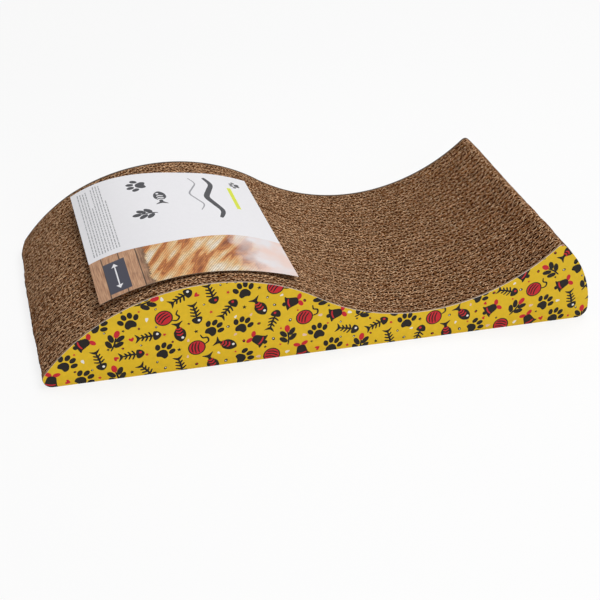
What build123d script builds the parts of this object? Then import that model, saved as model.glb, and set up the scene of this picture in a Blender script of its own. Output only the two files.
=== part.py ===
from build123d import *
import math
import os

# Wave-shaped cat scratcher: corrugated boards stand on edge side by side between two printed
# side panels, and a loose card lies over the hump. X runs along the length, Y across the boards
# and Z up from the floor. The origin is the middle of the base. Sizes are in millimetres.

# Outline that every board is cut to: a hump on the left, a dip and a raised tip on the right
LENGTH = 498.0
HEIGHT = 84.0
DIP_HEIGHT = 29.0
HUMP_RADIUS = 172.0
TIP_FROM_RIGHT = 40.5
TIP_RADIUS = 5.0
END_RADIUS = 108.0
LEFT_CORNER_RADIUS = 8.0
RIGHT_CORNER_RADIUS = 10.0

# Boards, glued face to face across the width
STRIP_COUNT = 36
STRIP_THICKNESS = 6.0
PANEL_THICKNESS = 2.0

# Loose card, bent to a flatter curve than the hump, so that its ends stand off
CARD_LENGTH = 172.0
CARD_WIDTH = 180.0
CARD_THICKNESS = 0.4
CARD_RADIUS = 215.0
CARD_CLEARANCE = 0.3
CARD_LEFT_REACH = 118.0
CARD_SHIFT = -4.0
CARD_LEAN_DEGREES = 9.0

STRIP_STACK = STRIP_COUNT * STRIP_THICKNESS
LEFT_END = -LENGTH / 2
RIGHT_END = LENGTH / 2

# Centre of the hump, set so that the rounded left corner just reaches the end of the length
HUMP_CENTRE_Z = HEIGHT - HUMP_RADIUS
CORNER_REACH = HUMP_RADIUS - LEFT_CORNER_RADIUS
CORNER_RISE = LEFT_CORNER_RADIUS - HUMP_CENTRE_Z
LEFT_CORNER_X = LEFT_END + LEFT_CORNER_RADIUS
HUMP_CENTRE = Vector(LEFT_CORNER_X + math.sqrt(CORNER_REACH**2 - CORNER_RISE**2), 0, HUMP_CENTRE_Z)


def towards(start, end, distance):
    """Point at a distance from start, on the line through end."""
    return start + (end - start).normalized() * distance


def circle_crossing(first, first_radius, second, second_radius):
    """Where two circles in the XZ plane cross, to the right of the line from first to second."""
    span = (second - first).length
    ahead = (second - first).normalized()
    right = Vector(ahead.Z, 0, -ahead.X)
    along = (first_radius**2 - second_radius**2 + span**2) / (2 * span)
    return first + ahead * along + right * math.sqrt(first_radius**2 - along**2)


def wave_outline():
    """Face in the XZ plane, all tangent arcs on a flat base."""
    # The dip runs smoothly off the hump and rises again to the full height at the tip
    tip_x = RIGHT_END - TIP_FROM_RIGHT
    drop = HEIGHT - DIP_HEIGHT
    crest_to_tip = tip_x - HUMP_CENTRE.X
    dip_to_tip = crest_to_tip / 2 - drop * HUMP_RADIUS / crest_to_tip
    dip_radius = (dip_to_tip**2 + drop**2) / (2 * drop)
    dip_centre = Vector(tip_x - dip_to_tip, 0, DIP_HEIGHT + dip_radius)

    # The right end bulges from the tip down to its rounded corner
    right_corner_centre = Vector(RIGHT_END - RIGHT_CORNER_RADIUS, 0, RIGHT_CORNER_RADIUS)
    corner_inside_end = END_RADIUS - RIGHT_CORNER_RADIUS
    end_centre = circle_crossing(
        Vector(tip_x, 0, HEIGHT), END_RADIUS, right_corner_centre, corner_inside_end
    )

    # The tip is rounded between the dip and the end
    tip_inside_end = END_RADIUS - TIP_RADIUS
    tip_outside_dip = dip_radius + TIP_RADIUS
    tip_centre = circle_crossing(end_centre, tip_inside_end, dip_centre, tip_outside_dip)
    left_corner_centre = Vector(LEFT_CORNER_X, 0, LEFT_CORNER_RADIUS)

    base_left = Vector(LEFT_CORNER_X, 0, 0)
    base_right = Vector(RIGHT_END - RIGHT_CORNER_RADIUS, 0, 0)
    end_foot = towards(end_centre, right_corner_centre, END_RADIUS)
    tip_right = towards(end_centre, tip_centre, END_RADIUS)
    tip_left = towards(dip_centre, tip_centre, dip_radius)
    flank = towards(HUMP_CENTRE, dip_centre, HUMP_RADIUS)
    hump_foot = towards(HUMP_CENTRE, left_corner_centre, HUMP_RADIUS)

    base = Line(base_left, base_right)
    right_corner = TangentArc(base_right, end_foot, tangent=base % 1)
    end = TangentArc(end_foot, tip_right, tangent=right_corner % 1)
    tip = TangentArc(tip_right, tip_left, tangent=end % 1)
    dip = TangentArc(tip_left, flank, tangent=tip % 1)
    hump = TangentArc(flank, hump_foot, tangent=dip % 1)
    left_corner = TangentArc(hump_foot, base_left, tangent=hump % 1)
    return make_face([base, right_corner, end, tip, dip, hump, left_corner])


def board(outline, thickness, near_face):
    """Flat board of the outline, from its near face on in +Y."""
    return Pos(0, near_face, 0) * extrude(outline, amount=thickness, dir=(0, 1, 0))


def product_card():
    """Thin curved sheet, nearest to the hump a little to the right of its crest."""
    lean = math.radians(CARD_LEAN_DEGREES)
    contact = Vector(math.sin(lean), 0, math.cos(lean))
    centre = HUMP_CENTRE + contact * (HUMP_RADIUS + CARD_CLEARANCE - CARD_RADIUS)
    left = lean - CARD_LEFT_REACH / CARD_RADIUS
    right = left + CARD_LENGTH / CARD_RADIUS

    def point(angle, radius):
        return centre + Vector(math.sin(angle), 0, math.cos(angle)) * radius

    def arc(radius):
        middle = (left + right) / 2
        return ThreePointArc(point(left, radius), point(middle, radius), point(right, radius))

    under = arc(CARD_RADIUS)
    over = arc(CARD_RADIUS + CARD_THICKNESS)
    section = make_face([under, over, Line(under @ 0, over @ 0), Line(under @ 1, over @ 1)])
    return Pos(0, CARD_SHIFT - CARD_WIDTH / 2, 0) * extrude(section, amount=CARD_WIDTH, dir=(0, 1, 0))


outline = wave_outline()
stack_near = -STRIP_STACK / 2
stack_far = STRIP_STACK / 2

nodes = {}
for index in range(STRIP_COUNT):
    near_face = stack_near + index * STRIP_THICKNESS
    nodes[f"board_strip_{index + 1:02d}"] = board(outline, STRIP_THICKNESS, near_face)
nodes["front_side_panel"] = board(outline, PANEL_THICKNESS, stack_near - PANEL_THICKNESS)
nodes["back_side_panel"] = board(outline, PANEL_THICKNESS, stack_far)
nodes["product_card"] = product_card()

os.makedirs("parts", exist_ok=True)
for name, solid in nodes.items():
    solid.label = name
    export_step(solid, f"parts/{name}.step")
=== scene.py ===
import math

import bpy
import numpy as np
from mathutils import Matrix, Vector
from mathutils.geometry import delaunay_2d_cdt


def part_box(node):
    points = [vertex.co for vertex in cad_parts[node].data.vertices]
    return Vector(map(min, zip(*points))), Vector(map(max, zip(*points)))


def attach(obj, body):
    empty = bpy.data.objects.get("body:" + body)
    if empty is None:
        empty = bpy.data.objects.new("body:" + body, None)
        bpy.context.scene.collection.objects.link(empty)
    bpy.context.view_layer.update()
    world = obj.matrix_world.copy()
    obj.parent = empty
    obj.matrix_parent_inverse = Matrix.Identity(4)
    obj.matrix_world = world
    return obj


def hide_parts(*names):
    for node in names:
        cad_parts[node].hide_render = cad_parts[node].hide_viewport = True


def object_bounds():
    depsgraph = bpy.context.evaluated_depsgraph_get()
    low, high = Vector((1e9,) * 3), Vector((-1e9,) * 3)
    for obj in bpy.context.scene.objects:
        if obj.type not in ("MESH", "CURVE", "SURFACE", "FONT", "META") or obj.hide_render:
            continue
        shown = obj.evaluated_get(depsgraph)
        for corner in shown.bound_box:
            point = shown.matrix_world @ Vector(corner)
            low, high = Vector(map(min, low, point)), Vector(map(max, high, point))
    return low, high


# Wave-shaped cat scratcher: 36 corrugated boards on edge between two printed side panels, with a loose
# card over the hump. Sizes below are in millimetres, and each mesh is turned into metres as it is made.
# X runs along the length, Y across the boards with the photographed panel on the low side, and Z up.
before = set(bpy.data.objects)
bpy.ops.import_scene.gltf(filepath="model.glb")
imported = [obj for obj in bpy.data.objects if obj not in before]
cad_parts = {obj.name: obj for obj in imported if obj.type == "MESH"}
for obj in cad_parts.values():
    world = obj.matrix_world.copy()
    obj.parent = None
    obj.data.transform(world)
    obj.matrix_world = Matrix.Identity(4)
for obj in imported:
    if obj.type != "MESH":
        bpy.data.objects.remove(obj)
cad_low, cad_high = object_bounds()

MM = 0.001

# Outline that every board is cut to, as in the CAD model
panel_low, panel_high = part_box("front_side_panel")
LEFT_END = panel_low.x / MM
RIGHT_END = panel_high.x / MM
HEIGHT = 84.0
DIP_HEIGHT = 29.0
HUMP_RADIUS = 172.0
TIP_FROM_RIGHT = 40.5
TIP_RADIUS = 5.0
END_RADIUS = 108.0
LEFT_CORNER_RADIUS = 8.0
RIGHT_CORNER_RADIUS = 10.0
FINE_STEP = 0.25
PANEL_STEP = 2.0
BASE_STEP = 10.0

# Camera, fitted to the photograph's 600 by 600 pixels
IMAGE_SIDE = 600
FOCAL_PIXELS = 1121.88
CAMERA_PLACE = (-274.03, -857.39, 584.91)
CAMERA_YAW = 0.31298
CAMERA_PITCH = 0.59128
CAMERA_ROLL = -0.05813

# Corrugated board: three flat liners with a tall and a low fluted sheet between them
STRIP_COUNT = 36
STRIP_SEED = 100
PAPER = 0.3
TALL_FLUTE_PITCH = 8.0
LOW_FLUTE_PITCH = 6.17
TALL_FLUTE_SHARE = 0.618
SAMPLES_PER_FLUTE = 10
LINER_STEP = 2.0
LINER_END = 4.0
LINER_END_PLACES = np.array([0.0, 0.05, 0.2, 0.5, 1.0, 1.8, 2.8])

# Unevenness of the fluted sheets, as pairs of a size and a length, over shares of which it wavers
WAVER_SHARES = (0.7, 1.0, 1.6, 2.7)
FLUTE_DRIFT = (0.35, 60.0)
FLUTE_LEAN = (0.3, 45.0)
FLUTE_CRUSH = (0.07, 30.0)

# Sawn rims of the sheets, wider than the paper, ragged and leaning, with pairs as above
LINER_RIM = 0.36
FLUTE_RIM = 0.58
RIM_DEPTH = 0.35
RIM_SPREAD = 0.1
RIM_SWELL = (0.3, 5.0)
RIM_LEAN = (0.14, 11.0)
RAGGED_EDGE = 0.13
HIGHEST_EDGE = 0.33

# Strips a little out of line, with bulging left ends and the far left corner worn round
STRIP_SHIFT = 0.35
STRIP_LIFT = 0.2
END_BULGE = 1.7
FAR_CORNER_PULL = 2.8
FAR_CORNER_FROM = 96.0
FAR_CORNER_REACH = 50.0

# How far the sawn rims are rubbed open, least where the wave rises to the tip
RUBBED_PLACES = (-200.0, -165.0, -110.0, -10.0, 60.0, 130.0, 202.0, 208.0, 215.0, 221.0)
RUBBED_SHARES = (1.45, 1.15, 1.35, 1.38, 1.0, 0.85, 0.71, 1.3, 1.3, 0.9)

# How much deeper the painted shade inside the flutes begins, as if light reached further in, most where the
# wave rises to the tip
LIT_PLACES = (40.0, 110.0, 200.0)
LIT_DEPTHS = (0.0, 0.35, 0.7)

# Scraps of paper left by the saw, none of them where the card lies
SLIVER_SEED = 7
SLIVER_COUNT = 140
SLIVER_ROWS = 5
SLIVER_THICKNESS = 0.12
SLIVER_LENGTHS = (1.2, 3.2)
SLIVER_WIDTHS = (0.3, 0.7)
SLIVER_RISES = (0.2, 0.8)
SLIVER_CURLS = (0.5, 1.0)
FLUFF_START = LEFT_END + 12.0
FLUFF_END = RIGHT_END - 42.0
FLUFF_MARGIN = 2.0
FLUFF_GAP_START = -225.0
FLUFF_GAP_END = -30.0
FLUFF_MAP_COLUMNS = 12
FLUFF_MAP_CELL = (0.012, 0.015)
FLUFF_MAP_CAP = ((0, 0.065), (0.01, 0.065), (0.01, 0.07), (0, 0.07))

# Bake map of a strip: both sides and both edges of its five walls, unrolled
MAP_WALL = 88.0
MAP_EDGE = 5.0
MAP_CAP = 2.0
MAP_WIDTH = 700.0
MAP_HEIGHT = 5 * 2 * (MAP_WALL + MAP_EDGE)

# Bake map of a printed sheet: lengths of its face, its back and its rim, one over another
FACE_SHARE = 0.82
FACE_MARGIN = 2.0
BACK_START = FACE_SHARE + 0.01
BACK_SHARE = 0.1
RIM_START = FACE_SHARE + 0.12

# Side panels, with motifs in staggered rows and three small bits beside each motif
PRINTED_PLY = 0.5
PANEL_SEGMENTS = 3
MOTIF_SCALE = 1.06
MOTIF_ROWS = 6
MOTIF_ACROSS = 27.0
MOTIF_UP = 17.5
FIRST_MOTIF = (6.0, 4.0)
MOTIF_JITTER = 1.0
MOTIF_TURN = 80.0
MOTIF_TRIES = 9
MOTIF_ROOM = -1.0
BIT_ROOM = 1.0
BIT_PLACES = ((0.5, 0.0, 1.0), (0.26, 0.5, 0.75), (0.74, 0.5, 0.75))
PRINT_MARGIN = 12.0

# Loose card, and the rows of dashes on it
CARD_LENGTH = 172.0
CARD_WIDTH = 180.0
CARD_MIDDLE_Y = -6.0
CARD_TURN = 0.015
CARD_THICKNESS = 0.4
CARD_LEFT_REACH = 118.0
CARD_LEAN = math.radians(8.03)
CARD_CLEARANCE = 0.35
CARD_GRID = 4.0
CARD_FINISH = (0.4, 0.01)
CARD_SEED = 9
DASH_ROWS = 10
DASH_PITCH = 2.6
DASH_START = (6.0, 66.0)
DASH_END = 172.0
SHORT_ROWS = (4, 9)
SHORTER = 30.0
DASH_LENGTHS = (1.2, 5.5)
DASH_WIDTH = 0.9
DASH_GAP = 1.0

# How far the card's near and far edges stand off the hump, towards its left and right ends
NEAR_GAP = 2.0
NEAR_LEFT_RISE = 5.2
NEAR_LEFT_POWER = 1.8
NEAR_RIGHT_RISE = 2.7
FAR_LEFT_RISE = 10.8
FAR_LEFT_SHARE = 0.9
FAR_RIGHT_RISE = 1.0

# Studio, in metres and watts: name, place, target, size and power of each lamp
LAMPS = (
    ("key", (0.5, 0.1, 1.95), (0, 0, 0), 1.4, 32),
    ("left", (-1.9, -0.2, 0.8), (0, 0, 0), 1.2, 2),
    ("front", (-0.1, -1.8, 0.9), (0, 0, 0.03), 1.2, 13.6),
)
WORLD_STRENGTH = 0.15
FLOOR_HALF_SIDE = 12.0
FLOOR_LEVEL = -0.1 * MM
FLOOR_COLOUR = (0.9, 0.9, 0.9, 1)
FLOOR_ROUGHNESS = 0.9
FLOOR_WHITENESS = 0.8
FLOOR_WHITER_FROM = 0.6
FLOOR_WHITE_AT = 2.4
FLOOR_DARK_INSET = (12 * MM, 1 * MM)


# Curves in the plane of the boards, as arrays of points


def arc(centre, radius, start, end, step):
    """Points on a circle from one angle to another, no further apart than the step."""
    count = max(3, math.ceil(abs(end - start) * radius / step) + 1)
    angle = np.linspace(start, end, count)
    return np.column_stack([centre[0] + radius * np.cos(angle), centre[1] + radius * np.sin(angle)])


def heading(start, end):
    """Angle of the direction from one point to another."""
    return math.atan2(end[1] - start[1], end[0] - start[0])


def circle_crossing(first, first_radius, second, second_radius):
    """Where two circles cross, to the right of the line from first to second."""
    span = math.dist(first, second)
    turn = heading(first, second)
    along = (first_radius**2 - second_radius**2 + span**2) / (2 * span)
    aside = math.sqrt(first_radius**2 - along**2)
    return (
        first[0] + along * math.cos(turn) + aside * math.sin(turn),
        first[1] + along * math.sin(turn) - aside * math.cos(turn),
    )


# The hump's centre lets the rounded left corner just reach the end of the length
left_corner = (LEFT_END + LEFT_CORNER_RADIUS, LEFT_CORNER_RADIUS)
right_corner = (RIGHT_END - RIGHT_CORNER_RADIUS, RIGHT_CORNER_RADIUS)
hump_z = HEIGHT - HUMP_RADIUS
corner_reach = HUMP_RADIUS - LEFT_CORNER_RADIUS
hump_centre = (left_corner[0] + math.sqrt(corner_reach**2 - (left_corner[1] - hump_z) ** 2), hump_z)


def joined(pieces):
    """Pieces of a curve end to end, without their shared points twice."""
    return np.concatenate([pieces[0]] + [piece[1:] for piece in pieces[1:]])


def lengths_along(points):
    """Length of a curve from its start to each of its points."""
    return np.concatenate([[0.0], np.cumsum(np.linalg.norm(np.diff(points, axis=0), axis=1))])


def sideways(line):
    """Direction to the left of a curve at each of its points."""
    along = np.gradient(line, axis=0)
    along /= np.linalg.norm(along, axis=1)[:, None]
    return np.column_stack([-along[:, 1], along[:, 0]])


def wave_top(step):
    """Upper run of the outline, from the left end over the hump, dip and tip to the right end."""
    tip_x = RIGHT_END - TIP_FROM_RIGHT
    drop = HEIGHT - DIP_HEIGHT
    crest_to_tip = tip_x - hump_centre[0]
    dip_to_tip = crest_to_tip / 2 - drop * HUMP_RADIUS / crest_to_tip
    dip_radius = (dip_to_tip**2 + drop**2) / (2 * drop)
    dip_centre = (tip_x - dip_to_tip, DIP_HEIGHT + dip_radius)
    end_centre = circle_crossing((tip_x, HEIGHT), END_RADIUS, right_corner, END_RADIUS - RIGHT_CORNER_RADIUS)
    tip_centre = circle_crossing(end_centre, END_RADIUS - TIP_RADIUS, dip_centre, dip_radius + TIP_RADIUS)

    foot = heading(hump_centre, left_corner)
    flank = heading(hump_centre, dip_centre)
    rise = heading(tip_centre, dip_centre)
    fall = heading(end_centre, tip_centre)
    end_foot = heading(end_centre, right_corner)
    return joined([
        arc(left_corner, LEFT_CORNER_RADIUS, math.pi, foot, step),
        arc(hump_centre, HUMP_RADIUS, foot, flank, step),
        arc(dip_centre, dip_radius, flank + math.pi, rise + math.pi, step),
        arc(tip_centre, TIP_RADIUS, rise, fall, step),
        arc(end_centre, END_RADIUS, fall, end_foot, step),
        arc(right_corner, RIGHT_CORNER_RADIUS, end_foot, 0.0, step),
    ])


def wave_base(step):
    """Lower run of the outline, from the right end along the flat base to the left end."""
    count = math.ceil((right_corner[0] - left_corner[0]) / BASE_STEP) + 1
    base_x = np.linspace(right_corner[0], left_corner[0], count)
    return joined([
        arc(right_corner, RIGHT_CORNER_RADIUS, 0.0, -math.pi / 2, step),
        np.column_stack([base_x, np.zeros(count)]),
        arc(left_corner, LEFT_CORNER_RADIUS, math.pi * 1.5, math.pi, step),
    ])


fine_top = wave_top(FINE_STEP)
fine_base = wave_base(FINE_STEP)[::-1]


def top_height(x):
    """Height of the wave at each place along the length."""
    return np.interp(x, fine_top[:, 0], fine_top[:, 1])


def base_height(x):
    """Height of the underside, which is zero but for the two rounded corners."""
    return np.interp(x, fine_base[:, 0], fine_base[:, 1])


# Meshes

SHARP_ANGLE = math.radians(40)


def add_object(name, data):
    """New object in the scene."""
    made = bpy.data.objects.new(name, data)
    bpy.context.scene.collection.objects.link(made)
    return made


def make_piece(name, points, faces, map_places, inks, face_inks, body, node=None):
    """Mesh object from points in millimetres, riding on a body and standing for a CAD node."""
    mesh = bpy.data.meshes.new(name)
    mesh.from_pydata(np.asarray(points) * MM, [], faces)
    for material in inks.values():
        mesh.materials.append(material)
    order = list(inks)
    mesh.polygons.foreach_set("material_index", [order.index(ink) for ink in face_inks])
    mesh.polygons.foreach_set("use_smooth", np.full(len(mesh.polygons), True))
    mesh.set_sharp_from_angle(angle=SHARP_ANGLE)
    bake_map = mesh.uv_layers.new(name="OFBake")
    bake_map.uv.foreach_set("vector", np.asarray(map_places, dtype=np.float32).ravel())
    piece = add_object(name, mesh)
    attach(piece, body)
    if node:
        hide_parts(node)
    return piece


def add_values(piece, name, values):
    """Stores one number for each point of a piece, for its material to read."""
    layer = piece.data.attributes.new(name, "FLOAT", "POINT")
    layer.data.foreach_set("value", np.asarray(values, dtype=np.float32))


# Materials


def srgb(*levels):
    """Colour as a shader takes it, from red, green and blue of 0 to 255."""
    colour = []
    for share in (level / 255 for level in levels):
        colour.append(share / 12.92 if share <= 0.04045 else ((share + 0.055) / 1.055) ** 2.4)
    return (*colour, 1.0)


def grey(level):
    """Grey as a shader takes it, to multiply a colour with."""
    return srgb(level, level, level)


class Nodes:
    """Node tree, and short ways to add nodes to it."""

    def __init__(self, tree):
        self.tree = tree

    def feed(self, value, socket):
        """Links an output to a socket, or sets the socket to a constant."""
        if isinstance(value, bpy.types.NodeSocket):
            self.tree.links.new(value, socket)
        else:
            socket.default_value = value

    def node(self, kind, inputs=None, **settings):
        """New node, with its settings and with an output or a constant for its inputs."""
        made = self.tree.nodes.new(kind)
        for name, value in settings.items():
            setattr(made, name, value)
        for name, value in (inputs or {}).items():
            self.feed(value, made.inputs[name])
        return made

    def math(self, operation, first, second):
        """Sum on two numbers, each a number or an output."""
        return self.node("ShaderNodeMath", {0: first, 1: second}, operation=operation).outputs["Value"]

    def show(self, factor, first, second, output):
        """Mixes two shaders, and makes the mix the surface of the tree's output."""
        blend = self.node("ShaderNodeMixShader", {0: factor, 1: first, 2: second})
        self.feed(blend.outputs["Shader"], self.tree.nodes[output].inputs["Surface"])


class Shader(Nodes):
    """Node material with a Principled BSDF."""

    def __init__(self, name, specular):
        self.material = bpy.data.materials.new(name)
        self.material.use_nodes = True
        super().__init__(self.material.node_tree)
        self.bsdf = self.tree.nodes["Principled BSDF"]
        self.surface("Specular IOR Level", specular)

    def surface(self, name, value):
        """Gives an input of the surface an output or a constant."""
        self.feed(value, self.bsdf.inputs[name])

    def position(self):
        """Place on the object, in metres."""
        return self.node("ShaderNodeTexCoord").outputs["Object"]

    def noise(self, size, detail=3.0, stretch=(1, 1, 1), source=None):
        """Noise with features of about a size in millimetres, stretched along each axis."""
        unit = MM if source is None else 1
        place = self.position() if source is None else source
        scale = [1 / (unit * axis) for axis in stretch]
        spot = self.node("ShaderNodeMapping", {"Vector": place, "Scale": scale}).outputs["Vector"]
        inputs = {"Vector": spot, "Scale": 1 / size, "Detail": detail}
        return self.node("ShaderNodeTexNoise", inputs).outputs["Fac"]

    def ramp(self, factor, *stops):
        """Colour ramp through (place, colour) stops."""
        made = self.node("ShaderNodeValToRGB", {"Fac": factor})
        elements = made.color_ramp.elements
        while len(elements) < len(stops):
            elements.new(0.5)
        for element, (place, colour) in zip(elements, stops):
            element.position = place
            element.color = colour
        return made.outputs["Color"]

    def mix(self, factor, first, second, blend="MIX"):
        """Mix of two colours, each a colour or an output, by a number or an output."""
        inputs = {0: factor, 6: first, 7: second}
        return self.node("ShaderNodeMix", inputs, data_type="RGBA", blend_type=blend).outputs[2]

    def shaded(self, colour, factor, *stops):
        """A colour multiplied by a colour ramp."""
        return self.mix(1.0, colour, self.ramp(factor, *stops), "MULTIPLY")

    def value(self, name):
        """Number stored on the points of a piece."""
        return self.node("ShaderNodeAttribute", attribute_name=name).outputs["Fac"]

    def spread(self, factor, low, high, start=0.0, end=1.0):
        """A factor moved from one range to another, and held within it."""
        inputs = {"Value": factor, "From Min": start, "From Max": end, "To Min": low, "To Max": high}
        return self.node("ShaderNodeMapRange", inputs).outputs["Result"]

    def colour(self, source):
        self.surface("Base Color", source)

    def roughness(self, pattern, smooth, rough):
        self.surface("Roughness", self.spread(pattern, smooth, rough))

    def bump(self, height, depth, strength=1.0):
        """Bump from a height of 0 to 1, with its depth in millimetres."""
        inputs = {"Height": height, "Distance": depth * MM, "Strength": strength}
        self.surface("Normal", self.node("ShaderNodeBump", inputs).outputs["Normal"])


def depth_in_board(shader, reach):
    """0 at the cut edges of a board, rising to 1 at a depth in millimetres inside its flutes, the mask of the
    painted shade there.
    """
    height = shader.node("ShaderNodeSeparateXYZ", {"Vector": shader.position()}).outputs["Z"]
    below = shader.math("SUBTRACT", shader.value("top"), height)
    above = shader.math("SUBTRACT", height, shader.value("base"))
    return shader.spread(shader.math("MINIMUM", below, above), 0.0, 1.0, 0.0, reach * MM)


def kraft_paper():
    """Brown paper of the liners and flutes, with fibres along the board, and painted shade that darkens it
    inside the flutes.
    """
    shader = Shader("kraft_paper", 0.15)
    fibres = shader.noise(0.5, 4.0, (6, 1, 1))
    clouds = shader.noise(14.0)
    scuffs = shader.noise(1.9)
    paper = shader.ramp(fibres, (0.3, srgb(172, 107, 58)), (0.7, srgb(206, 135, 79)))
    aged = shader.shaded(paper, clouds, (0.3, grey(216)), (0.7, grey(255)))
    scuffed = shader.shaded(aged, scuffs, (0.42, srgb(138, 107, 66)), (0.56, grey(255)))
    tinted = shader.shaded(scuffed, shader.value("tint"), (0.0, grey(214)), (1.0, grey(255)))
    # Painted shade: the paper's colour darkens with depth inside the flutes, where occlusion would shade it.
    shader.colour(shader.shaded(
        tinted, depth_in_board(shader, 6.0),
        (0.0, grey(255)), (0.07, srgb(210, 202, 194)), (0.14, srgb(124, 94, 72)),
        (0.22, srgb(68, 40, 20)), (1.0, srgb(46, 26, 12)),
    ))
    shader.roughness(fibres, 0.8, 0.96)
    shader.bump(fibres, 0.05)
    return shader.material


def cut_paper():
    """Paler rough edge where the boards were sawn to the wave."""
    shader = Shader("cut_paper", 0.15)
    crumbs = shader.noise(0.8, 4.0)
    clouds = shader.noise(9.0)
    scuffs = shader.noise(1.7)
    paper = shader.ramp(crumbs, (0.36, srgb(190, 139, 97)), (0.64, srgb(255, 214, 172)))
    scuffed = shader.shaded(paper, scuffs, (0.42, srgb(134, 103, 62)), (0.56, grey(255)))
    shader.colour(shader.shaded(scuffed, clouds, (0.3, grey(216)), (0.7, grey(255))))
    shader.roughness(crumbs, 0.85, 0.98)
    shader.bump(crumbs, 0.12)
    return shader.material


def torn_paper():
    """Pale torn scraps of the paper's inside."""
    shader = Shader("torn_paper", 0.15)
    fibres = shader.noise(0.3)
    shader.colour(shader.ramp(fibres, (0.3, srgb(212, 176, 134)), (0.7, srgb(246, 222, 188))))
    shader.roughness(fibres, 0.86, 0.98)
    shader.bump(fibres, 0.08)
    return shader.material


def printed_ink(name, colour, roughness=0.55, mottling=0.04):
    """Ink on coated board, with faint mottling and paper grain."""
    shader = Shader(name, 0.2)
    mottle = shader.noise(3.5, 4.0)
    grain = shader.noise(0.35, 2.0)
    dull, bright = (
        [min(1.0, share * value) for value in colour[:3]] + [1.0] for share in (1 - mottling, 1 + mottling)
    )
    shader.colour(shader.ramp(mottle, (0.3, dull), (0.7, bright)))
    shader.roughness(grain, roughness - 0.06, roughness + 0.08)
    shader.bump(grain, 0.02, 0.6)
    return shader.material


def raw_board(name, dark, pale):
    """Bare cut edge of pressed board, in fine layers along its face."""
    shader = Shader(name, 0.15)
    layers = shader.noise(0.3, 3.0, (8, 1, 8))
    shader.colour(shader.ramp(layers, (0.3, dark), (0.7, pale)))
    shader.roughness(layers, 0.82, 0.97)
    shader.bump(layers, 0.06)
    return shader.material


# Strips of corrugated board


def wavering(x, waver, rng):
    """Smooth wavering along x, of about a size over a length."""
    size, length = waver
    total = np.zeros_like(x)
    for share in WAVER_SHARES:
        total += np.sin(2 * math.pi * x / (length * share) + rng.uniform(0, 2 * math.pi))
    return size * (total / 2)


def wall(line, lift, rims, rng):
    """Paper wall on a line, from the base to a frayed rim at the wave, as rows of six corners round it."""
    aside = sideways(line)
    ragged = np.minimum(lift + rng.normal(0.0, RAGGED_EDGE, len(line)), HIGHEST_EDGE)
    leaning = wavering(line[:, 0], RIM_LEAN, rng)
    rows = np.zeros((len(line), 6, 3))
    for side, rim, (foot, neck, lip) in zip((1, -1), rims, ((0, 1, 2), (5, 4, 3))):
        swell = 1 + wavering(line[:, 0], RIM_SWELL, rng)
        frayed = rim * swell + np.abs(rng.normal(0.0, RIM_SPREAD, len(line)))
        frayed *= np.interp(line[:, 0], RUBBED_PLACES, RUBBED_SHARES)
        frayed = np.maximum(frayed, PAPER / 2) if rim > PAPER / 2 else np.full(len(line), rim)
        sheet = line + side * aside * PAPER / 2
        edge = line + side * aside * frayed[:, None]
        edge[:, 1] += leaning
        rows[:, foot, :2] = sheet
        rows[:, foot, 2] = base_height(sheet[:, 0])
        rows[:, lip, :2] = edge
        rows[:, lip, 2] = np.maximum(top_height(edge[:, 0]) + ragged, base_height(edge[:, 0]) + 2 * PAPER)
        rows[:, neck, :2] = sheet
        rows[:, neck, 1] += leaning
        rows[:, neck, 2] = np.maximum(rows[:, lip, 2] - RIM_DEPTH, rows[:, foot, 2] + PAPER)
    return rows


def tube_faces(count, corners):
    """Faces round a tube of rows of corners, side by side along it, and then those of its two ends."""
    start = np.arange(count - 1)[:, None] * corners
    faces = []
    for corner in range(corners):
        after = (corner + 1) % corners
        beyond = start + corners
        faces.extend(np.hstack([start + corner, start + after, beyond + after, beyond + corner]).tolist())
    end = (count - 1) * corners
    return faces + [list(range(corners))[::-1], list(range(end, end + corners))]


def wall_faces(rows, level):
    """Faces round a wall, with their places on the bake map and their papers."""
    count = len(rows)
    middle = (rows[:, 0, :2] + rows[:, -1, :2]) / 2
    along = lengths_along(middle)
    side_start = level * 2 * (MAP_WALL + MAP_EDGE)
    top_start = side_start + MAP_WALL
    other_start = top_start + MAP_EDGE
    base_start = other_start + MAP_WALL
    near_side = side_start + rows[:, :, 2]
    far_side = other_start + rows[:, :, 2]
    bands = (
        (near_side[:, 0], near_side[:, 1]),
        (near_side[:, 1], near_side[:, 2]),
        (np.full(count, top_start), np.full(count, top_start + MAP_EDGE / 2)),
        (far_side[:, 3], far_side[:, 4]),
        (far_side[:, 4], far_side[:, 5]),
        (np.full(count, base_start), np.full(count, base_start + MAP_EDGE / 2)),
    )
    places = []
    across = np.column_stack([along[:-1], along[:-1], along[1:], along[1:]])
    for low, high in bands:
        up = np.column_stack([low[:-1], high[:-1], high[1:], low[1:]])
        places.append(np.stack([across, up], axis=2).reshape(-1, 2))
    cap = np.arange(len(bands))
    cap_shape = MAP_CAP * np.array([0, 0, 0, 1, 1, 1])
    for order, row, past in ((cap[::-1], 0, MAP_CAP), (cap, -1, 3 * MAP_CAP)):
        up = side_start + rows[row, order, 2]
        places.append(np.column_stack([along[-1] + past + cap_shape[order], up]))
    faces = tube_faces(count, len(bands))
    papers = ["kraft"] * len(faces)
    papers[2 * (count - 1) : 3 * (count - 1)] = ["cut"] * (count - 1)
    return faces, np.concatenate(places) / (MAP_WIDTH, MAP_HEIGHT), papers


def liner_line(y):
    """Straight line along the board, with closer points at its steep ends."""
    middle = np.arange(LEFT_END + LINER_END, RIGHT_END - LINER_END, LINER_STEP)
    x = np.concatenate([LEFT_END + LINER_END_PLACES, middle, RIGHT_END - LINER_END_PLACES[::-1]])
    return np.column_stack([x, np.full_like(x, y)])


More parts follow.
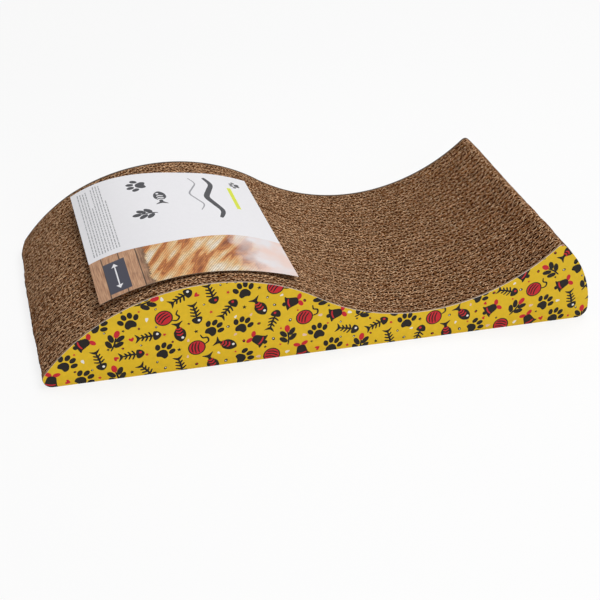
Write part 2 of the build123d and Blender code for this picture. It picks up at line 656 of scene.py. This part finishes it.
def flute_line(low, high, pitch, rng):
    """Wavy line of a fluted sheet between two liners, a little uneven as glued board is."""
    count = int((RIGHT_END - LEFT_END) / pitch * SAMPLES_PER_FLUTE)
    x = np.linspace(LEFT_END + PAPER, RIGHT_END - PAPER, count)
    drift = wavering(x, FLUTE_DRIFT, rng) + rng.uniform(0, 2 * math.pi)
    turn = 2 * math.pi * x / pitch + drift
    lean = wavering(x, FLUTE_LEAN, rng)
    swing = np.sin(turn + lean * np.sin(turn))
    crushed = 1 - np.abs(wavering(x, FLUTE_CRUSH, rng))
    y = (low + high) / 2 + crushed * swing * (high - low - PAPER) / 2
    return np.column_stack([x, y])


def worn_corner(points):
    """Draws the left end in at the far corner, which is worn round."""
    far_side = -panel_low.y / MM
    across = np.clip((points[:, 1] - FAR_CORNER_FROM) / (far_side - FAR_CORNER_FROM), 0, 1)
    along = np.clip((LEFT_END + FAR_CORNER_REACH - points[:, 0]) / FAR_CORNER_REACH, 0, 1)
    points[:, 0] += FAR_CORNER_PULL * across * along
    return points


def corrugated_strip(number, inks):
    """One double-wall board on edge, with its two layers of open flutes."""
    node = f"board_strip_{number:02d}"
    rng = np.random.default_rng(STRIP_SEED + number)
    low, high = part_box(node)
    near = low.y / MM
    far = high.y / MM
    between = near + PAPER + (far - near - 2 * PAPER) * TALL_FLUTE_SHARE
    shift = rng.normal(0.0, STRIP_SHIFT)
    lift = rng.normal(0.0, STRIP_LIFT)
    sheet = PAPER / 2
    liner = LINER_RIM / 2
    flute = FLUTE_RIM / 2
    walls = (
        (liner_line(near + sheet), (2 * liner - sheet, sheet)),
        (flute_line(near + PAPER, between - sheet, TALL_FLUTE_PITCH, rng), (flute, flute)),
        (liner_line(between), (liner, liner)),
        (flute_line(between + sheet, far - PAPER, LOW_FLUTE_PITCH, rng), (flute, flute)),
        (liner_line(far - sheet), (sheet, 2 * liner - sheet)),
    )
    points = []
    faces = []
    places = []
    papers = []
    tints = []
    for level, (line, rims) in enumerate(walls):
        rows = wall(line, lift, rims, rng)
        wall_quads, wall_places, wall_papers = wall_faces(rows, level)
        first = sum(len(part) for part in points)
        faces.extend([corner + first for corner in face] for face in wall_quads)
        points.append(rows.reshape(-1, 3))
        places.append(wall_places)
        papers.extend(wall_papers)
        tints.append(np.full(rows.shape[0] * rows.shape[1], rng.uniform(0.0, 1.0)))
    points = np.concatenate(points)
    # The painted shade in the flutes starts further below the rims where these depths are larger.
    lit_depth = np.interp(points[:, 0], LIT_PLACES, LIT_DEPTHS)
    tops = top_height(points[:, 0]) + lift - lit_depth
    bases = base_height(points[:, 0])
    bulge = END_BULGE * (1 - (near + far) ** 2 / (panel_low.y / MM * 2) ** 2)
    points[:, 0] += shift - bulge * np.clip(points[:, 0] / LEFT_END, 0, 1)
    piece = make_piece(
        f"strip_{number:02d}", worn_corner(points), faces, np.concatenate(places),
        inks, papers, "scratcher", node,
    )
    add_values(piece, "tint", np.concatenate(tints))
    add_values(piece, "top", tops * MM)
    add_values(piece, "base", bases * MM)


def sliver(rng):
    """Curled scrap of paper, as rows of four corners along it."""
    length = rng.uniform(*SLIVER_LENGTHS)
    width = rng.uniform(*SLIVER_WIDTHS)
    share = np.linspace(0, 1, SLIVER_ROWS)
    rise = rng.uniform(*SLIVER_RISES) * np.sin(math.pi * share * rng.uniform(*SLIVER_CURLS))
    taper = width * (0.35 + 0.65 * np.sin(math.pi * (0.15 + 0.7 * share)))
    rows = np.zeros((SLIVER_ROWS, 4, 3))
    for corner, (side, height) in enumerate(((1, 0.0), (1, 1.0), (-1, 1.0), (-1, 0.0))):
        rows[:, corner, 0] = (share - 0.5) * length
        rows[:, corner, 1] = side * taper / 2
        rows[:, corner, 2] = rise + height * SLIVER_THICKNESS
    rows[:, :, :2] = turned(rows[:, :, :2], rng.uniform(0, 360))
    return rows


def paper_fluff(inks):
    """Pale scraps that the saw left on the cut edges of the boards, clear of the card."""
    rng = np.random.default_rng(SLIVER_SEED)
    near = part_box("board_strip_01")[0].y / MM
    steps = range(SLIVER_ROWS - 1)
    cells = [np.array([(0, 0), (0, 1), (1, 1), (1, 0)]) + (step, side) for side in range(4) for step in steps]
    sliver_map = np.concatenate([*(np.array(cells) * FLUFF_MAP_CELL), FLUFF_MAP_CAP, FLUFF_MAP_CAP])
    points = []
    faces = []
    places = []
    while len(points) < SLIVER_COUNT:
        x = rng.uniform(FLUFF_START, FLUFF_END)
        y = rng.uniform(near + FLUFF_MARGIN, -near - FLUFF_MARGIN)
        if FLUFF_GAP_START < x < FLUFF_GAP_END:
            continue
        slope = (top_height(x + 1) - top_height(x - 1)) / 2
        rows = sliver(rng)
        rows[:, :, 2] += top_height(x) + slope * rows[:, :, 0]
        rows[:, :, 0] += x
        rows[:, :, 1] += y
        number = len(points)
        first = number * SLIVER_ROWS * 4
        spot = np.array([number % FLUFF_MAP_COLUMNS, number // FLUFF_MAP_COLUMNS]) / FLUFF_MAP_COLUMNS
        faces.extend([corner + first for corner in face] for face in tube_faces(SLIVER_ROWS, 4))
        places.append(spot + sliver_map)
        points.append(rows.reshape(-1, 3))
    make_piece(
        "paper_fluff", np.concatenate(points), faces, np.concatenate(places),
        inks, ["torn"] * len(faces), "scratcher",
    )


# Print: flat shapes in millimetres, each an ink and a closed outline


def bar(x, y, width, height):
    return np.array([(0, 0), (1, 0), (1, 1), (0, 1)]) * (width, height) + (x, y)


def ellipse(x, y, half_width, half_height, turn=0.0, count=20):
    angle = np.linspace(0, 2 * math.pi, count, endpoint=False)
    points = np.column_stack([half_width * np.cos(angle), half_height * np.sin(angle)])
    return turned(points, turn) + (x, y)


def turned(points, degrees):
    angle = math.radians(degrees)
    matrix = np.array([[math.cos(angle), math.sin(angle)], [-math.sin(angle), math.cos(angle)]])
    return np.asarray(points, dtype=float) @ matrix


def smooth(points, closed, per_span=5):
    """Catmull-Rom curve through the points."""
    points = np.asarray(points, dtype=float)
    if closed:
        ring = np.concatenate([points[-1:], points, points[:2]])
    else:
        ring = np.concatenate([points[:1], points, points[-1:]])
    curve = []
    for a, b, c, d in zip(ring, ring[1:], ring[2:], ring[3:]):
        for share in np.linspace(0, 1, per_span, endpoint=False):
            curve.append(
                0.5 * (2 * b + (c - a) * share + (2 * a - 5 * b + 4 * c - d) * share**2
                       + (3 * b - a - 3 * c + d) * share**3)
            )
    if not closed:
        curve.append(points[-1])
    return np.array(curve)


def blob(*points):
    return smooth(points, True)


def stroke(width, *points):
    """Outline of a pen stroke through the points, narrower at its ends."""
    line = smooth(points, False)
    share = np.linspace(0, 1, len(line))
    half = width / 2 * (0.45 + 0.55 * np.sin(math.pi * share) ** 0.5)
    aside = sideways(line) * half[:, None]
    return np.concatenate([line + aside, (line - aside)[::-1]])


def paw(ink):
    pad = ((-4.8, -2.8), (-3.4, -5.9), (0, -5.2), (3.4, -5.9), (4.8, -2.8), (2.8, 0.9), (0, 2.1), (-2.8, 0.9))
    shapes = [(ink, blob(*pad))]
    for x, y, turn in ((-6.3, 2.4, 28), (-2.4, 5.9, 9), (2.4, 5.9, -9), (6.3, 2.4, -28)):
        shapes.append((ink, ellipse(x, y, 2.1, 3.0, turn)))
    return shapes


def fishbone(ink, accent):
    shapes = [
        (ink, blob((10.4, 0), (8.2, 3.4), (4.6, 4.1), (3.6, 0), (4.6, -4.1), (8.2, -3.4))),
        (accent, ellipse(7.2, 1.2, 1.1, 1.1)),
        (ink, stroke(1.8, (4.4, 0), (-1, 0.4), (-7.4, 0))),
        (ink, blob((-6.2, 0), (-10.4, 4.3), (-9.0, 0), (-10.4, -4.3))),
    ]
    for x, reach in ((1.9, 4.4), (-1.2, 3.8), (-4.2, 3.0)):
        shapes.append((ink, stroke(1.6, (x - 1.4, reach), (x + 0.6, 0.2), (x - 1.4, -reach))))
    return shapes


def yarn_ball(ink, accent):
    shapes = [
        (ink, stroke(1.5, (4.4, -4.8), (8.2, -7.0), (11.2, -4.8), (10.0, -1.4), (12.4, 1.6))),
        (ink, ellipse(0, 0, 7.2, 7.2, count=28)),
        (accent, ellipse(0, 0, 6.2, 6.2, count=28)),
    ]
    for bow in (2.9, 0.4, -2.2):
        reach = math.sqrt(5.6**2 - bow**2) - 0.2
        line = turned([(-reach, bow), (0, bow + 1.1), (reach, bow)], 20)
        shapes.append((ink, stroke(1.2, *line)))
    return shapes


def bell(ink, accent):
    body = blob(
        (0, 6.2), (3.2, 5.0), (4.3, 1.4), (5.2, -2.2), (6.8, -4.2), (3.2, -4.8),
        (-3.2, -4.8), (-6.8, -4.2), (-5.2, -2.2), (-4.3, 1.4), (-3.2, 5.0),
    )
    return [
        (accent, ellipse(-3.3, 7.4, 3.1, 1.9, -24)),
        (accent, ellipse(3.3, 7.4, 3.1, 1.9, 24)),
        (ink, ellipse(0, -5.8, 2.0, 1.8)),
        (ink, body),
        (accent, stroke(1.3, (-4.0, -1.7), (0, -2.5), (4.0, -1.7))),
    ]


def toy_fish(ink, accent, eye):
    body = blob(
        (9.4, 0), (5.6, 4.1), (-0.5, 4.6), (-5.6, 1.2), (-10.0, 4.8), (-9.0, 0),
        (-10.0, -4.8), (-5.6, -1.2), (-0.5, -4.6), (5.6, -4.1),
    )
    shapes = [(ink, body), (eye, ellipse(5.8, 1.3, 1.1, 1.1))]
    for x in (2.3, -0.7, -3.4):
        shapes.append((accent, stroke(1.3, (x - 0.7, 2.6), (x + 0.6, 0), (x - 0.7, -2.6))))
    return shapes


def sprig(ink, accent):
    shapes = [(ink, stroke(1.5, (-0.6, -9.6), (0.5, -3), (0, 4.2)))]
    for x, y, turn in ((-3.9, -3.8, 46), (4.1, -2.6, -46), (-3.6, 1.9, 36), (3.7, 2.9, -36)):
        shapes.append((ink, ellipse(x, y, 2.2, 4.1, turn)))
    shapes.append((accent, ellipse(0, 6.6, 2.3, 3.6)))
    return shapes


def heart(ink, size):
    right = np.array([(0, -1.0), (0.75, -0.25), (1.0, 0.35), (0.6, 0.85), (0, 0.45)])
    left = right[3:0:-1] * (-1, 1)
    return [(ink, blob(*np.concatenate([right, left]) * size))]


def star(ink, size):
    angle = np.arange(10) * math.pi / 5 + math.pi / 2
    reach = np.where(np.arange(10) % 2, 0.45, 1.0) * size
    return [(ink, np.column_stack([reach * np.cos(angle), reach * np.sin(angle)]))]


def drop(ink, size):
    points = np.array([(0, 1.1), (0.55, 0.1), (0.45, -0.7), (-0.45, -0.7), (-0.55, 0.1)])
    return [(ink, blob(*points * size))]


def kibble(ink, accent, size):
    spot = ellipse(0.2 * size, 0.1, size * 0.4, size * 0.35)
    return [(ink, ellipse(0, 0, size, size * 0.8, 20)), (accent, spot)]


def moved(shapes, x, y, turn=0.0, scale=1.0):
    return [(ink, turned(points * scale, turn) + (x, y)) for ink, points in shapes]


def counterclockwise(points):
    x, y = points[:, 0], points[:, 1]
    area = np.sum(x * np.roll(y, -1) - np.roll(x, -1) * y)
    return points if area > 0 else points[::-1]


def printed_face(outline, shapes, ground, extra_points=(), cuts=()):
    """Triangles of a flat face cut along its print: points, triangles and the ink of each."""
    loops = [outline] + [points for ink, points in shapes]
    inks = [ground] + [ink for ink, points in shapes]
    points = []
    faces = []
    edges = []
    for loop in loops:
        faces.append(range(len(points), len(points) + len(loop)))
        points.extend(Vector(point) for point in counterclockwise(np.asarray(loop, dtype=float)))
    for cut in cuts:
        edges.append((len(points), len(points) + 1))
        points.extend(Vector(point) for point in cut)
    points.extend(Vector(point) for point in extra_points)
    made, _, triangles, _, _, sources = delaunay_2d_cdt(points, edges, faces, 0, 1e-4)
    kept = [(triangle, inks[max(source)]) for triangle, source in zip(triangles, sources) if 0 in source]
    used, corners = np.unique([triangle for triangle, ink in kept], return_inverse=True)
    flat = np.array([tuple(made[corner]) for corner in used])
    return flat, corners.reshape(-1, 3).tolist(), [ink for triangle, ink in kept]


def rim_loop(triangles):
    """Corners round the border of a set of triangles, in order."""
    directed = set()
    for a, b, c in triangles:
        directed.update(((a, b), (b, c), (c, a)))
    after = {a: b for a, b in directed if (b, a) not in directed}
    loop = [min(after)]
    while after[loop[-1]] != loop[0]:
        loop.append(after[loop[-1]])
    return loop


def closed_sheet(flat, triangles, inks, layer_inks, segments):
    """Faces of a printed sheet with its rim in layers and its plain back, with their bake map places."""
    count = len(flat)
    layers = len(layer_inks)
    left = flat[:, 0].min()
    length = flat[:, 0].max() - left
    height = flat[:, 1].max() + FACE_MARGIN

    def face_place(corners):
        along = (corners[:, 0] - left) / length * segments
        step = int(along.mean())
        return np.column_stack([along - step, (step + corners[:, 1] / height) * FACE_SHARE / segments])

    def back_place(corners):
        return (corners - (left, 0)) / (length, height) * (1, BACK_SHARE) + (0, BACK_START)

    faces = list(triangles)
    face_inks = list(inks)
    places = [face_place(flat[triangle]) for triangle in triangles]
    loop = rim_loop(triangles)
    along = lengths_along(flat[loop + loop[:1]])
    along /= along[-1]
    layer_height = (1 - RIM_START) / (layers - 1)
    for layer in range(layers - 1):
        low = RIM_START + (layer + 0.2) * layer_height
        high = low + 0.6 * layer_height
        first = layer * count
        second = first + count
        for a, b, here, there in zip(loop, loop[1:] + loop[:1], along, along[1:]):
            faces.append((b + first, a + first, a + second, b + second))
            face_inks.append(layer_inks[layer])
            places.append([(there, low), (here, low), (here, high), (there, high)])
    last = (layers - 1) * count
    for triangle in triangles:
        faces.append([corner + last for corner in reversed(triangle)])
        face_inks.append(layer_inks[-1])
        places.append(back_place(flat[triangle[::-1]]))
    return faces, face_inks, np.concatenate(places)


# Printed side panels


def panel_print(outline, rng):
    """Toys and treats scattered in staggered rows over a panel, with small bits between them."""
    motifs = (
        paw("black"), fishbone("black", "white"), yarn_ball("black", "red"),
        toy_fish("black", "red", "white"), sprig("black", "red"), bell("black", "red"),
        fishbone("black", "red"), paw("black"),
    )
    bits = (
        heart("red", 2.3), kibble("black", "white", 1.7), star("black", 2.1), drop("white", 2.2),
        kibble("black", "red", 1.6), star("red", 1.9), drop("pink", 2.2), kibble("black", "white", 1.5),
    )
    low = outline.min(axis=0)
    high = outline.max(axis=0)
    shapes = []
    taken = np.empty((0, 2))

    def add_clear(motif, spot, scale, turns, room):
        """Adds a motif at the turn that keeps it furthest from the others, if that leaves enough room."""
        nonlocal taken
        best = None
        for turn in turns:
            placed = moved(motif, *spot, turn, scale)
            points = np.concatenate([shape for ink, shape in placed])[::3]
            near = taken[np.linalg.norm(taken - spot, axis=1) < 2 * MOTIF_ACROSS]
            gap = np.linalg.norm(points[:, None] - near, axis=2).min() if len(near) else MOTIF_ACROSS
            if best is None or gap > best[0]:
                best = (gap, placed, points)
        if best[0] > room:
            shapes.extend(best[1])
            taken = np.concatenate([taken, best[2]])

    spots = []
    for row in range(MOTIF_ROWS):
        y = FIRST_MOTIF[1] + row * MOTIF_UP
        stagger = MOTIF_ACROSS / 2 if row % 2 else 0.0
        order = rng.permutation(len(motifs))
        for column in range(int((high[0] - low[0]) / MOTIF_ACROSS) + 2):
            x = low[0] + FIRST_MOTIF[0] + stagger + column * MOTIF_ACROSS
            spot = np.array([x, y]) + rng.uniform(-MOTIF_JITTER, MOTIF_JITTER, 2)
            turns = rng.uniform(-MOTIF_TURN, MOTIF_TURN, MOTIF_TRIES)
            add_clear(motifs[order[column % len(motifs)]], spot, MOTIF_SCALE, turns, MOTIF_ROOM)
            for step, (aside, lift, size) in enumerate(BIT_PLACES):
                bit = bits[(column * 5 + row * 3 + step * 2) % len(bits)]
                jitter = rng.uniform(-MOTIF_JITTER, MOTIF_JITTER, 2)
                bit_spot = np.array([x + aside * MOTIF_ACROSS, y + lift * MOTIF_UP]) + jitter
                spots.append((bit, bit_spot, size, rng.uniform(0, 360, 1)))
    for bit, bit_spot, size, turns in spots:
        add_clear(bit, bit_spot, size, turns, BIT_ROOM)
    middles = np.array([points.mean(axis=0) for ink, points in shapes])
    inside = (middles > low - PRINT_MARGIN) & (middles < high + PRINT_MARGIN)
    return [shape for shape, kept in zip(shapes, inside.all(axis=1)) if kept]


def side_panel(name, node, outward, seed, rims, inks):
    """Board with print on its outer face and raw cut edges, drawn as seen from outside."""
    low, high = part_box(node)
    across = -outward
    outer, inner = (low.y / MM, high.y / MM)[::across]
    outline = np.concatenate([wave_top(PANEL_STEP), wave_base(PANEL_STEP)[1:-1]]) * (across, 1)
    left = outline[:, 0].min()
    segment = (outline[:, 0].max() - left) / PANEL_SEGMENTS
    seams = left + segment * np.arange(1, PANEL_SEGMENTS)
    cuts = [[(seam, -1.0), (seam, HEIGHT + 1.0)] for seam in seams]
    shapes = panel_print(outline, np.random.default_rng(seed))
    flat, *face = printed_face(outline, shapes, "yellow", cuts=cuts)
    faces, face_inks, places = closed_sheet(flat, *face, rims, PANEL_SEGMENTS)
    points = []
    for depth in (outer, outer - outward * PRINTED_PLY, inner):
        points.append(np.column_stack([flat[:, 0] * across, np.full(len(flat), depth), flat[:, 1]]))
    points = worn_corner(np.concatenate(points))
    make_piece(name, points, faces, places, inks, face_inks, "scratcher", node)


# Loose card over the hump


def card_gap(reach, across):
    """Height of the card over the hump, by distance from where it touches and share of the width."""
    left = np.clip(reach, 0, None) / CARD_LEFT_REACH
    right = np.clip(-reach, 0, None) / (CARD_LENGTH - CARD_LEFT_REACH)
    rise = np.clip(left / FAR_LEFT_SHARE, 0, 1)
    near = NEAR_GAP + NEAR_LEFT_RISE * left**NEAR_LEFT_POWER + NEAR_RIGHT_RISE * right**2
    far = FAR_LEFT_RISE * rise**2 * (3 - 2 * rise) + FAR_RIGHT_RISE * right**2
    return CARD_CLEARANCE + near + (far - near) * across


def bent_card(flat, height):
    """Places points of the flat card over the hump, at a height above its underside."""
    along = flat[:, 0] - CARD_LEFT_REACH
    across = flat[:, 1] - CARD_WIDTH / 2
    gap = card_gap(-along, flat[:, 1] / CARD_WIDTH)
    run = along * math.cos(CARD_TURN) - across * math.sin(CARD_TURN)
    y = CARD_MIDDLE_Y + along * math.sin(CARD_TURN) + across * math.cos(CARD_TURN)
    angle = CARD_LEAN + run / (HUMP_RADIUS + gap / 2)
    radius = HUMP_RADIUS + gap + height
    x = hump_centre[0] + radius * np.sin(angle)
    z = hump_centre[1] + radius * np.cos(angle)
    return np.column_stack([x, y, z])


def card_print(rng):
    """Plain print: rows of dashes, icons, two wave lines, a lime bar, a picture band and a marked box."""
    along = np.linspace(0, 1, 40)
    edge = np.column_stack([along * CARD_LENGTH, 57.5 + 3 * np.cos(2.6 * math.pi * along)])
    band = np.concatenate([[(0, 0), (CARD_LENGTH, 0)], edge[::-1]])
    shapes = [("picture", band)]
    for row in range(DASH_ROWS):
        x, y = DASH_START
        x += row * DASH_PITCH
        while y < DASH_END - SHORTER * (row in SHORT_ROWS):
            length = rng.uniform(*DASH_LENGTHS)
            shapes.append(("text", bar(x, y, DASH_WIDTH, length)))
            y += length + DASH_GAP
    shapes.extend(moved(paw("icon"), 62, 158, 90, 1.2))
    shapes.extend(moved(toy_fish("icon", "card", "card"), 78, 132, 90, 1.2))
    shapes.extend(moved(sprig("icon", "icon"), 60, 106, 90, 1.15))
    wave = np.array([(0, 0), (4.5, 13), (0, 26), (-4.5, 39), (0, 52), (4.5, 65), (0, 78)])
    shapes.append(("icon", stroke(5.5, *(wave + (126, 92)))))
    shapes.append(("text", stroke(1.6, *(wave * (1, 0.8) + (111, 106)))))
    shapes.append(("lime", bar(146, 112, 4, 42)))
    shapes.extend(moved(paw("icon"), 157, 162, 90, 0.7))
    shapes.append(("slate", bar(11, 5, 19, 44)))
    shapes.append(("card", stroke(1.2, (20.5, 13), (20.5, 27), (20.5, 41))))
    shapes.append(("card", np.array([(20.5, 9), (23.5, 14), (17.5, 14)])))
    shapes.append(("card", np.array([(20.5, 45), (17.5, 40), (23.5, 40)])))
    return shapes


def product_card(inks):
    """Thin printed card, bent over the hump with its far left corner standing off."""
    outline = bar(0, 0, CARD_LENGTH, CARD_WIDTH)
    spots_x = np.arange(0, CARD_LENGTH + CARD_GRID / 2, CARD_GRID)
    spots_y = np.arange(0, CARD_WIDTH + CARD_GRID / 2, CARD_GRID)
    grid = [(x, y) for x in spots_x for y in spots_y]
    shapes = card_print(np.random.default_rng(CARD_SEED))
    flat, *face = printed_face(outline, shapes, "card", grid)
    faces, face_inks, places = closed_sheet(flat, *face, ("back", "back"), 1)
    points = np.concatenate([bent_card(flat, CARD_THICKNESS), bent_card(flat, 0.0)])
    piece = make_piece(
        "loose_card", points, faces, places, inks, face_inks, "card", "product_card"
    )
    add_values(piece, "along", np.tile(flat[:, 0], 2))
    add_values(piece, "across", np.tile(flat[:, 1], 2))


def picture_ink():
    """Warm picture with no subject: a wooden floor, a folded orange blanket with a fringe and a pale wall."""
    shader = Shader("card_picture", 0.25)
    along = shader.value("along")
    place = shader.node("ShaderNodeCombineXYZ", {"X": along, "Y": shader.value("across")}).outputs["Vector"]
    waver = shader.spread(shader.noise(15.0, source=place), -14.0, 14.0)
    wavy_along = shader.math("ADD", along, waver)

    grain = shader.noise(1.0, 5.0, (1, 14, 1), place)
    wood = shader.ramp(
        grain, (0.28, srgb(138, 96, 72)), (0.5, srgb(182, 138, 106)), (0.72, srgb(208, 168, 134))
    )
    seam = shader.math("PINGPONG", shader.math("ADD", along, 4.0), 7.5)
    seam_edge = shader.spread(seam, 0.0, 1.0, 0.0, 0.9)
    planks = shader.shaded(wood, seam_edge, (0.35, grey(120)), (0.8, grey(255)))
    shadow = shader.spread(wavy_along, 0.0, 1.0, 38.0, 48.0)
    floor = shader.shaded(planks, shadow, (0.0, grey(255)), (1.0, grey(150)))

    slant = {"Vector": place, "Rotation": (0, 0, math.radians(35))}
    slanting = shader.node("ShaderNodeMapping", slant).outputs["Vector"]
    folds = shader.noise(9.0, 1.5, (1, 4.5, 1), slanting)
    cloth = shader.ramp(
        folds,
        (0.3, srgb(150, 78, 38)), (0.4, srgb(214, 136, 72)), (0.43, srgb(176, 98, 50)),
        (0.47, srgb(232, 160, 92)), (0.57, srgb(245, 206, 152)), (0.68, srgb(250, 236, 214)),
    )
    bands = {"Vector": slanting, "Scale": 0.17, "Distortion": 2.2, "Detail": 2.0, "Detail Scale": 0.6}
    ribs = shader.node("ShaderNodeTexWave", bands, bands_direction="X").outputs["Fac"]
    knit = shader.shaded(cloth, ribs, (0.1, grey(212)), (0.7, grey(255)))
    hairs = shader.noise(0.8, 3.0, (6, 1, 1), slanting)
    blanket = shader.shaded(knit, hairs, (0.3, grey(206)), (0.65, grey(255)))

    blur = shader.ramp(
        shader.noise(22.0, 2.0, source=place), (0.35, srgb(230, 204, 194)), (0.65, srgb(226, 222, 224))
    )
    fringe = shader.spread(shader.noise(0.8, 2.0, (9, 1, 1), place), -7.0, 7.0)
    border = shader.math("ADD", wavy_along, fringe)
    left = shader.mix(shader.spread(border, 0.0, 1.0, 47.0, 48.2), floor, blanket)
    shader.colour(shader.mix(shader.spread(wavy_along, 0.0, 1.0, 122.0, 146.0), left, blur))
    shader.roughness(hairs, 0.36, 0.46)
    return shader.material


# Build the pieces

papers = {"kraft": kraft_paper(), "cut": cut_paper()}
for strip_number in range(1, STRIP_COUNT + 1):
    corrugated_strip(strip_number, papers)
paper_fluff({"torn": torn_paper()})

panel_inks = {
    "yellow": printed_ink("ink_yellow", srgb(228, 188, 36)),
    "black": printed_ink("ink_black", srgb(30, 25, 22)),
    "red": printed_ink("ink_red", srgb(200, 38, 48)),
    "white": printed_ink("ink_white", srgb(238, 234, 228)),
    "pink": printed_ink("ink_pink", srgb(232, 196, 176)),
    "ply": raw_board("panel_ply", srgb(206, 192, 182), srgb(238, 228, 220)),
    "core": raw_board("panel_core", srgb(118, 92, 70), srgb(160, 130, 102)),
    # The back panel's rims are painted dark, a painted shade along its top edge.
    "dark_core": raw_board("panel_rim_painted_shade", srgb(64, 54, 48), srgb(96, 80, 68)),
}
front_rims = ("ply", "core", "core")
# The back panel's rim layers take the painted shade.
back_rims = ("dark_core", "dark_core", "core")
side_panel("front_panel", "front_side_panel", outward=-1, seed=21, rims=front_rims, inks=panel_inks)
side_panel("back_panel", "back_side_panel", outward=1, seed=22, rims=back_rims, inks=panel_inks)

card_inks = {
    "card": printed_ink("card_white", srgb(233, 232, 235), *CARD_FINISH),
    "back": raw_board("card_back", srgb(128, 116, 102), srgb(156, 142, 126)),
    "text": printed_ink("card_grey", srgb(150, 150, 154), *CARD_FINISH),
    "icon": printed_ink("card_dark", srgb(66, 66, 70), *CARD_FINISH),
    "lime": printed_ink("card_lime", srgb(214, 222, 60), *CARD_FINISH),
    "slate": printed_ink("card_slate", srgb(64, 64, 76), *CARD_FINISH),
    "picture": picture_ink(),
}
product_card(card_inks)


# Studio


def looked_at(nodes):
    """1 for the camera's rays and for those that reach it by gloss or glass, and 0 for light."""
    path = nodes.node("ShaderNodeLightPath").outputs
    seen = path["Is Camera Ray"]
    for kind in ("Is Glossy Ray", "Is Transmission Ray"):
        seen = nodes.math("MAXIMUM", seen, path[kind])
    return seen


def studio_floor():
    """Pale floor, white to the camera, that keeps the object's shadow and is dark under its open flutes."""
    side = FLOOR_HALF_SIDE
    mesh = bpy.data.meshes.new("floor")
    corners = [(x, y, FLOOR_LEVEL) for x, y in bar(-side, -side, 2 * side, 2 * side)]
    mesh.from_pydata(corners, [], [(0, 1, 2, 3)])
    floor = add_object("floor", mesh)
    shader = Shader("floor", 0.0)
    shader.colour(FLOOR_COLOUR)
    shader.surface("Roughness", FLOOR_ROUGHNESS)
    where = shader.position()
    away = shader.node("ShaderNodeVectorMath", {0: where}, operation="LENGTH").outputs["Value"]
    whiteness = shader.spread(away, FLOOR_WHITENESS, 1.0, FLOOR_WHITER_FROM, FLOOR_WHITE_AT)
    place = shader.node("ShaderNodeSeparateXYZ", {"Vector": where}).outputs
    beyond = []
    for axis, end, inset in zip("XY", cad_high, FLOOR_DARK_INSET):
        off_middle = shader.math("ABSOLUTE", place[axis], 0.0)
        beyond.append(shader.math("GREATER_THAN", off_middle, end - inset))
    shown = shader.math("MULTIPLY", looked_at(shader), shader.math("MAXIMUM", *beyond))
    whitened = shader.math("MULTIPLY", shown, whiteness)
    glow = shader.node("ShaderNodeEmission").outputs["Emission"]
    shader.show(whitened, shader.bsdf.outputs["BSDF"], glow, "Material Output")
    mesh.materials.append(shader.material)


def area_light(name, place, target, size, power):
    """Square soft light that faces a point."""
    light = bpy.data.lights.new(name, "AREA")
    light.size = size
    light.energy = power
    lamp = add_object(name, light)
    lamp.location = place
    lamp.rotation_euler = (Vector(target) - Vector(place)).to_track_quat("-Z", "Y").to_euler()


def studio_light():
    """Soft white surroundings, white where they are looked at, and three soft lamps."""
    world = bpy.data.worlds.new("studio")
    world.use_nodes = True
    nodes = Nodes(world.node_tree)
    shades = []
    for strength in (WORLD_STRENGTH, 1.0):
        inputs = {"Color": (1, 1, 1, 1), "Strength": strength}
        shades.append(nodes.node("ShaderNodeBackground", inputs).outputs["Background"])
    nodes.show(looked_at(nodes), *shades, "World Output")
    bpy.context.scene.world = world
    for lamp in LAMPS:
        area_light(*lamp)


def photo_camera():
    """Camera fitted to the photograph by its yaw, pitch and roll."""
    data = bpy.data.cameras.new("camera")
    data.lens = FOCAL_PIXELS * data.sensor_width / IMAGE_SIDE
    camera = add_object("camera", data)
    aim = Matrix.Rotation(-CAMERA_YAW, 4, "Z") @ Matrix.Rotation(math.pi / 2 - CAMERA_PITCH, 4, "X")
    roll = Matrix.Rotation(-CAMERA_ROLL, 4, "Z")
    camera.matrix_world = Matrix.Translation(Vector(CAMERA_PLACE) * MM) @ aim @ roll
    bpy.context.scene.camera = camera


studio_floor()
studio_light()
photo_camera()
bpy.context.scene.view_settings.view_transform = "Standard"
